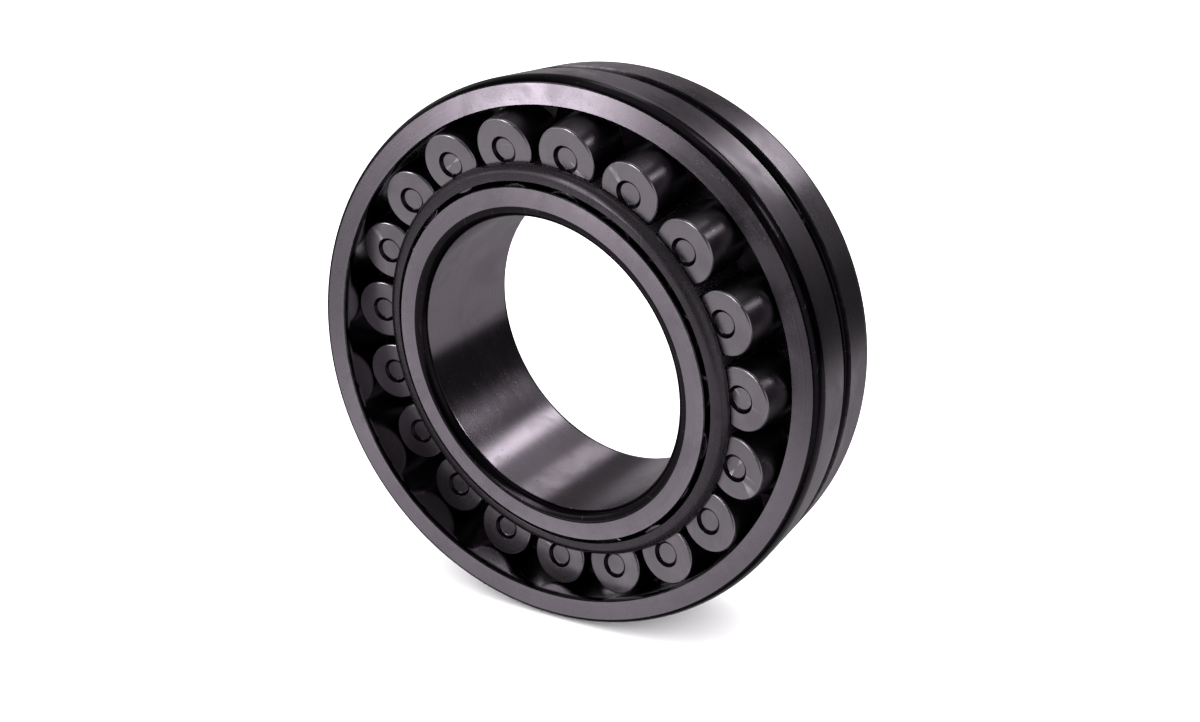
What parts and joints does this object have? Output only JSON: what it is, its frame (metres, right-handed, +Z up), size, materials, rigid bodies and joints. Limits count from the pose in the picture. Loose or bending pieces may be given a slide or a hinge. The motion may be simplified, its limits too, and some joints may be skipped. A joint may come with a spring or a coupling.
{
  "type": "spherical roller bearing",
  "caption": "Two-row spherical roller bearing with a plain cylindrical bore, grooved outer ring, barrel rollers and stamped steel cages, its inner set swivelled.",
  "frame": {"origin": "centre of the bearing, which is the centre of the spherical raceway", "axes": "Y along the outer ring's axis with its front face towards -Y, Z up, X to the right; the inner set leans 9 degrees in this pose"},
  "size_m": [0.18, 0.0674, 0.18],
  "materials": {
    "outer_ring_steel": "ground bearing steel, satin; corners, groove and chamfers dark",
    "inner_ring_steel": "ground bearing steel, satin; corners dark",
    "guide_ring_steel": "turned steel, dull",
    "roller_steel": "ground and honed bearing steel",
    "cage_sheet_steel": "stamped steel sheet, dark phosphated surface"
  },
  "bodies": {
    "outer_ring": {"outer_ring": "outer_ring_steel"},
    "guide_ring": {"guide_ring": "guide_ring_steel"},
    "inner_ring": {"inner_ring": "inner_ring_steel"},
    "cage_front": {"cage_front": "cage_sheet_steel"},
    "cage_rear": {"cage_rear": "cage_sheet_steel"},
    "roller_front_01": {"roller_front_01": "roller_steel"},
    "roller_front_02": {"roller_front_02": "roller_steel"},
    "roller_front_03": {"roller_front_03": "roller_steel"},
    "roller_front_04": {"roller_front_04": "roller_steel"},
    "roller_front_05": {"roller_front_05": "roller_steel"},
    "roller_front_06": {"roller_front_06": "roller_steel"},
    "roller_front_07": {"roller_front_07": "roller_steel"},
    "roller_front_08": {"roller_front_08": "roller_steel"},
    "roller_front_09": {"roller_front_09": "roller_steel"},
    "roller_front_10": {"roller_front_10": "roller_steel"},
    "roller_front_11": {"roller_front_11": "roller_steel"},
    "roller_front_12": {"roller_front_12": "roller_steel"},
    "roller_front_13": {"roller_front_13": "roller_steel"},
    "roller_front_14": {"roller_front_14": "roller_steel"},
    "roller_front_15": {"roller_front_15": "roller_steel"},
    "roller_front_16": {"roller_front_16": "roller_steel"},
    "roller_front_17": {"roller_front_17": "roller_steel"},
    "roller_front_18": {"roller_front_18": "roller_steel"},
    "roller_front_19": {"roller_front_19": "roller_steel"},
    "roller_rear_01": {"roller_rear_01": "roller_steel"},
    "roller_rear_02": {"roller_rear_02": "roller_steel"},
    "roller_rear_03": {"roller_rear_03": "roller_steel"},
    "roller_rear_04": {"roller_rear_04": "roller_steel"},
    "roller_rear_05": {"roller_rear_05": "roller_steel"},
    "roller_rear_06": {"roller_rear_06": "roller_steel"},
    "roller_rear_07": {"roller_rear_07": "roller_steel"},
    "roller_rear_08": {"roller_rear_08": "roller_steel"},
    "roller_rear_09": {"roller_rear_09": "roller_steel"},
    "roller_rear_10": {"roller_rear_10": "roller_steel"},
    "roller_rear_11": {"roller_rear_11": "roller_steel"},
    "roller_rear_12": {"roller_rear_12": "roller_steel"},
    "roller_rear_13": {"roller_rear_13": "roller_steel"},
    "roller_rear_14": {"roller_rear_14": "roller_steel"},
    "roller_rear_15": {"roller_rear_15": "roller_steel"},
    "roller_rear_16": {"roller_rear_16": "roller_steel"},
    "roller_rear_17": {"roller_rear_17": "roller_steel"},
    "roller_rear_18": {"roller_rear_18": "roller_steel"},
    "roller_rear_19": {"roller_rear_19": "roller_steel"}
  },
  "joints": [
    {"name": "swivel", "type": "hinge", "parent": "outer_ring", "child": "guide_ring", "pos_m": [0, 0, 0], "axis": [0.6639, 0, -0.7478], "range_deg": [-19, 1]},
    {"name": "inner_ring_spin", "type": "hinge", "parent": "guide_ring", "child": "inner_ring", "pos_m": [0, 0, 0], "axis": [-0.117, -0.9877, -0.1039], "continuous": true},
    {"name": "cage_front_spin", "type": "hinge", "parent": "guide_ring", "child": "cage_front", "pos_m": [0, 0, 0], "axis": [-0.117, -0.9877, -0.1039], "continuous": true},
    {"name": "cage_rear_spin", "type": "hinge", "parent": "guide_ring", "child": "cage_rear", "pos_m": [0, 0, 0], "axis": [-0.117, -0.9877, -0.1039], "continuous": true},
    {"name": "roller_front_01_spin", "type": "hinge", "parent": "cage_front", "child": "roller_front_01", "pos_m": [0.06962, -0.02071, 0.00304], "axis": [-0.2789, -0.9537, -0.1123], "continuous": true},
    {"name": "roller_front_02_spin", "type": "hinge", "parent": "cage_front", "child": "roller_front_02", "pos_m": [0.0641, -0.02247, 0.02592], "axis": [-0.2661, -0.9497, -0.165], "continuous": true},
    {"name": "roller_front_03_spin", "type": "hinge", "parent": "cage_front", "child": "roller_front_03", "pos_m": [0.05148, -0.02307, 0.04586], "axis": [-0.2371, -0.9483, -0.2109], "continuous": true},
    {"name": "roller_front_04_spin", "type": "hinge", "parent": "cage_front", "child": "roller_front_04", "pos_m": [0.03313, -0.02245, 0.06069], "axis": [-0.1949, -0.9497, -0.245], "continuous": true},
    {"name": "roller_front_05_spin", "type": "hinge", "parent": "cage_front", "child": "roller_front_05", "pos_m": [0.01103, -0.02069, 0.06881], "axis": [-0.144, -0.9538, -0.2637], "continuous": true},
    {"name": "roller_front_06_spin", "type": "hinge", "parent": "cage_front", "child": "roller_front_06", "pos_m": [-0.01241, -0.01797, 0.06934], "axis": [-0.09, -0.9601, -0.2649], "continuous": true},
    {"name": "roller_front_07_spin", "type": "hinge", "parent": "cage_front", "child": "roller_front_07", "pos_m": [-0.03466, -0.01459, 0.06222], "axis": [-0.0388, -0.9678, -0.2485], "continuous": true},
    {"name": "roller_front_08_spin", "type": "hinge", "parent": "cage_front", "child": "roller_front_08", "pos_m": [-0.0533, -0.01091, 0.04822], "axis": [0.0041, -0.9763, -0.2163], "continuous": true},
    {"name": "roller_front_09_spin", "type": "hinge", "parent": "cage_front", "child": "roller_front_09", "pos_m": [-0.06632, -0.00733, 0.02886], "axis": [0.0341, -0.9846, -0.1717], "continuous": true},
    {"name": "roller_front_10_spin", "type": "hinge", "parent": "cage_front", "child": "roller_front_10", "pos_m": [-0.07231, -0.00424, 0.00624], "axis": [0.0478, -0.9917, -0.1197], "continuous": true},
    {"name": "roller_front_11_spin", "type": "hinge", "parent": "cage_front", "child": "roller_front_11", "pos_m": [-0.07061, -0.00198, -0.01719], "axis": [0.0439, -0.9969, -0.0657], "continuous": true},
    {"name": "roller_front_12_spin", "type": "hinge", "parent": "cage_front", "child": "roller_front_12", "pos_m": [-0.06141, -0.00078, -0.0389], "axis": [0.0228, -0.9996, -0.0158], "continuous": true},
    {"name": "roller_front_13_spin", "type": "hinge", "parent": "cage_front", "child": "roller_front_13", "pos_m": [-0.04571, -0.00079, -0.05652], "axis": [-0.0134, -0.9996, 0.0248], "continuous": true},
    {"name": "roller_front_14_spin", "type": "hinge", "parent": "cage_front", "child": "roller_front_14", "pos_m": [-0.02521, -0.002, -0.06816], "axis": [-0.0606, -0.9968, 0.0516], "continuous": true},
    {"name": "roller_front_15_spin", "type": "hinge", "parent": "cage_front", "child": "roller_front_15", "pos_m": [-0.00213, -0.00427, -0.07254], "axis": [-0.1137, -0.9916, 0.0617], "continuous": true},
    {"name": "roller_front_16_spin", "type": "hinge", "parent": "cage_front", "child": "roller_front_16", "pos_m": [0.02103, -0.00736, -0.0692], "axis": [-0.167, -0.9845, 0.054], "continuous": true},
    {"name": "roller_front_17_spin", "type": "hinge", "parent": "cage_front", "child": "roller_front_17", "pos_m": [0.04176, -0.01094, -0.05849], "axis": [-0.2147, -0.9762, 0.0293], "continuous": true},
    {"name": "roller_front_18_spin", "type": "hinge", "parent": "cage_front", "child": "roller_front_18", "pos_m": [0.05781, -0.01462, -0.04159], "axis": [-0.2517, -0.9678, -0.0096], "continuous": true},
    {"name": "roller_front_19_spin", "type": "hinge", "parent": "cage_front", "child": "roller_front_19", "pos_m": [0.06745, -0.018, -0.0203], "axis": [-0.2739, -0.96, -0.0586], "continuous": true},
    {"name": "roller_rear_01_spin", "type": "hinge", "parent": "cage_rear", "child": "roller_rear_01", "pos_m": [0.07061, 0.00198, 0.01719], "axis": [0.0439, -0.9969, -0.0657], "continuous": true},
    {"name": "roller_rear_02_spin", "type": "hinge", "parent": "cage_rear", "child": "roller_rear_02", "pos_m": [0.06141, 0.00078, 0.0389], "axis": [0.0228, -0.9996, -0.0158], "continuous": true},
    {"name": "roller_rear_03_spin", "type": "hinge", "parent": "cage_rear", "child": "roller_rear_03", "pos_m": [0.04571, 0.00079, 0.05652], "axis": [-0.0134, -0.9996, 0.0248], "continuous": true},
    {"name": "roller_rear_04_spin", "type": "hinge", "parent": "cage_rear", "child": "roller_rear_04", "pos_m": [0.02521, 0.002, 0.06816], "axis": [-0.0606, -0.9968, 0.0516], "continuous": true},
    {"name": "roller_rear_05_spin", "type": "hinge", "parent": "cage_rear", "child": "roller_rear_05", "pos_m": [0.00213, 0.00427, 0.07254], "axis": [-0.1137, -0.9916, 0.0617], "continuous": true},
    {"name": "roller_rear_06_spin", "type": "hinge", "parent": "cage_rear", "child": "roller_rear_06", "pos_m": [-0.02103, 0.00736, 0.0692], "axis": [-0.167, -0.9845, 0.054], "continuous": true},
    {"name": "roller_rear_07_spin", "type": "hinge", "parent": "cage_rear", "child": "roller_rear_07", "pos_m": [-0.04176, 0.01094, 0.05849], "axis": [-0.2147, -0.9762, 0.0293], "continuous": true},
    {"name": "roller_rear_08_spin", "type": "hinge", "parent": "cage_rear", "child": "roller_rear_08", "pos_m": [-0.05781, 0.01462, 0.04159], "axis": [-0.2517, -0.9678, -0.0096], "continuous": true},
    {"name": "roller_rear_09_spin", "type": "hinge", "parent": "cage_rear", "child": "roller_rear_09", "pos_m": [-0.06745, 0.018, 0.0203], "axis": [-0.2739, -0.96, -0.0586], "continuous": true},
    {"name": "roller_rear_10_spin", "type": "hinge", "parent": "cage_rear", "child": "roller_rear_10", "pos_m": [-0.06962, 0.02071, -0.00304], "axis": [-0.2789, -0.9537, -0.1123], "continuous": true},
    {"name": "roller_rear_11_spin", "type": "hinge", "parent": "cage_rear", "child": "roller_rear_11", "pos_m": [-0.0641, 0.02247, -0.02592], "axis": [-0.2661, -0.9497, -0.165], "continuous": true},
    {"name": "roller_rear_12_spin", "type": "hinge", "parent": "cage_rear", "child": "roller_rear_12", "pos_m": [-0.05148, 0.02307, -0.04586], "axis": [-0.2371, -0.9483, -0.2109], "continuous": true},
    {"name": "roller_rear_13_spin", "type": "hinge", "parent": "cage_rear", "child": "roller_rear_13", "pos_m": [-0.03313, 0.02245, -0.06069], "axis": [-0.1949, -0.9497, -0.245], "continuous": true},
    {"name": "roller_rear_14_spin", "type": "hinge", "parent": "cage_rear", "child": "roller_rear_14", "pos_m": [-0.01103, 0.02069, -0.06881], "axis": [-0.144, -0.9538, -0.2637], "continuous": true},
    {"name": "roller_rear_15_spin", "type": "hinge", "parent": "cage_rear", "child": "roller_rear_15", "pos_m": [0.01241, 0.01797, -0.06934], "axis": [-0.09, -0.9601, -0.2649], "continuous": true},
    {"name": "roller_rear_16_spin", "type": "hinge", "parent": "cage_rear", "child": "roller_rear_16", "pos_m": [0.03466, 0.01459, -0.06222], "axis": [-0.0388, -0.9678, -0.2485], "continuous": true},
    {"name": "roller_rear_17_spin", "type": "hinge", "parent": "cage_rear", "child": "roller_rear_17", "pos_m": [0.0533, 0.01091, -0.04822], "axis": [0.0041, -0.9763, -0.2163], "continuous": true},
    {"name": "roller_rear_18_spin", "type": "hinge", "parent": "cage_rear", "child": "roller_rear_18", "pos_m": [0.06632, 0.00733, -0.02886], "axis": [0.0341, -0.9846, -0.1717], "continuous": true},
    {"name": "roller_rear_19_spin", "type": "hinge", "parent": "cage_rear", "child": "roller_rear_19", "pos_m": [0.07231, 0.00424, -0.00624], "axis": [0.0478, -0.9917, -0.1197], "continuous": true}
  ],
  "couplings": [
    {"joint": "cage_front_spin", "follows": "inner_ring_spin", "ratio": 0.42779},
    {"joint": "cage_rear_spin", "follows": "inner_ring_spin", "ratio": 0.42779},
    {"joint": "roller_front_01_spin", "follows": "inner_ring_spin", "ratio": -3.3432},
    {"joint": "roller_front_02_spin", "follows": "inner_ring_spin", "ratio": -3.3432},
    {"joint": "roller_front_03_spin", "follows": "inner_ring_spin", "ratio": -3.3432},
    {"joint": "roller_front_04_spin", "follows": "inner_ring_spin", "ratio": -3.3432},
    {"joint": "roller_front_05_spin", "follows": "inner_ring_spin", "ratio": -3.3432},
    {"joint": "roller_front_06_spin", "follows": "inner_ring_spin", "ratio": -3.3432},
    {"joint": "roller_front_07_spin", "follows": "inner_ring_spin", "ratio": -3.3432},
    {"joint": "roller_front_08_spin", "follows": "inner_ring_spin", "ratio": -3.3432},
    {"joint": "roller_front_09_spin", "follows": "inner_ring_spin", "ratio": -3.3432},
    {"joint": "roller_front_10_spin", "follows": "inner_ring_spin", "ratio": -3.3432},
    {"joint": "roller_front_11_spin", "follows": "inner_ring_spin", "ratio": -3.3432},
    {"joint": "roller_front_12_spin", "follows": "inner_ring_spin", "ratio": -3.3432},
    {"joint": "roller_front_13_spin", "follows": "inner_ring_spin", "ratio": -3.3432},
    {"joint": "roller_front_14_spin", "follows": "inner_ring_spin", "ratio": -3.3432},
    {"joint": "roller_front_15_spin", "follows": "inner_ring_spin", "ratio": -3.3432},
    {"joint": "roller_front_16_spin", "follows": "inner_ring_spin", "ratio": -3.3432},
    {"joint": "roller_front_17_spin", "follows": "inner_ring_spin", "ratio": -3.3432},
    {"joint": "roller_front_18_spin", "follows": "inner_ring_spin", "ratio": -3.3432},
    {"joint": "roller_front_19_spin", "follows": "inner_ring_spin", "ratio": -3.3432},
    {"joint": "roller_rear_01_spin", "follows": "inner_ring_spin", "ratio": -3.3432},
    {"joint": "roller_rear_02_spin", "follows": "inner_ring_spin", "ratio": -3.3432},
    {"joint": "roller_rear_03_spin", "follows": "inner_ring_spin", "ratio": -3.3432},
    {"joint": "roller_rear_04_spin", "follows": "inner_ring_spin", "ratio": -3.3432},
    {"joint": "roller_rear_05_spin", "follows": "inner_ring_spin", "ratio": -3.3432},
    {"joint": "roller_rear_06_spin", "follows": "inner_ring_spin", "ratio": -3.3432},
    {"joint": "roller_rear_07_spin", "follows": "inner_ring_spin", "ratio": -3.3432},
    {"joint": "roller_rear_08_spin", "follows": "inner_ring_spin", "ratio": -3.3432},
    {"joint": "roller_rear_09_spin", "follows": "inner_ring_spin", "ratio": -3.3432},
    {"joint": "roller_rear_10_spin", "follows": "inner_ring_spin", "ratio": -3.3432},
    {"joint": "roller_rear_11_spin", "follows": "inner_ring_spin", "ratio": -3.3432},
    {"joint": "roller_rear_12_spin", "follows": "inner_ring_spin", "ratio": -3.3432},
    {"joint": "roller_rear_13_spin", "follows": "inner_ring_spin", "ratio": -3.3432},
    {"joint": "roller_rear_14_spin", "follows": "inner_ring_spin", "ratio": -3.3432},
    {"joint": "roller_rear_15_spin", "follows": "inner_ring_spin", "ratio": -3.3432},
    {"joint": "roller_rear_16_spin", "follows": "inner_ring_spin", "ratio": -3.3432},
    {"joint": "roller_rear_17_spin", "follows": "inner_ring_spin", "ratio": -3.3432},
    {"joint": "roller_rear_18_spin", "follows": "inner_ring_spin", "ratio": -3.3432},
    {"joint": "roller_rear_19_spin", "follows": "inner_ring_spin", "ratio": -3.3432}
  ]
}
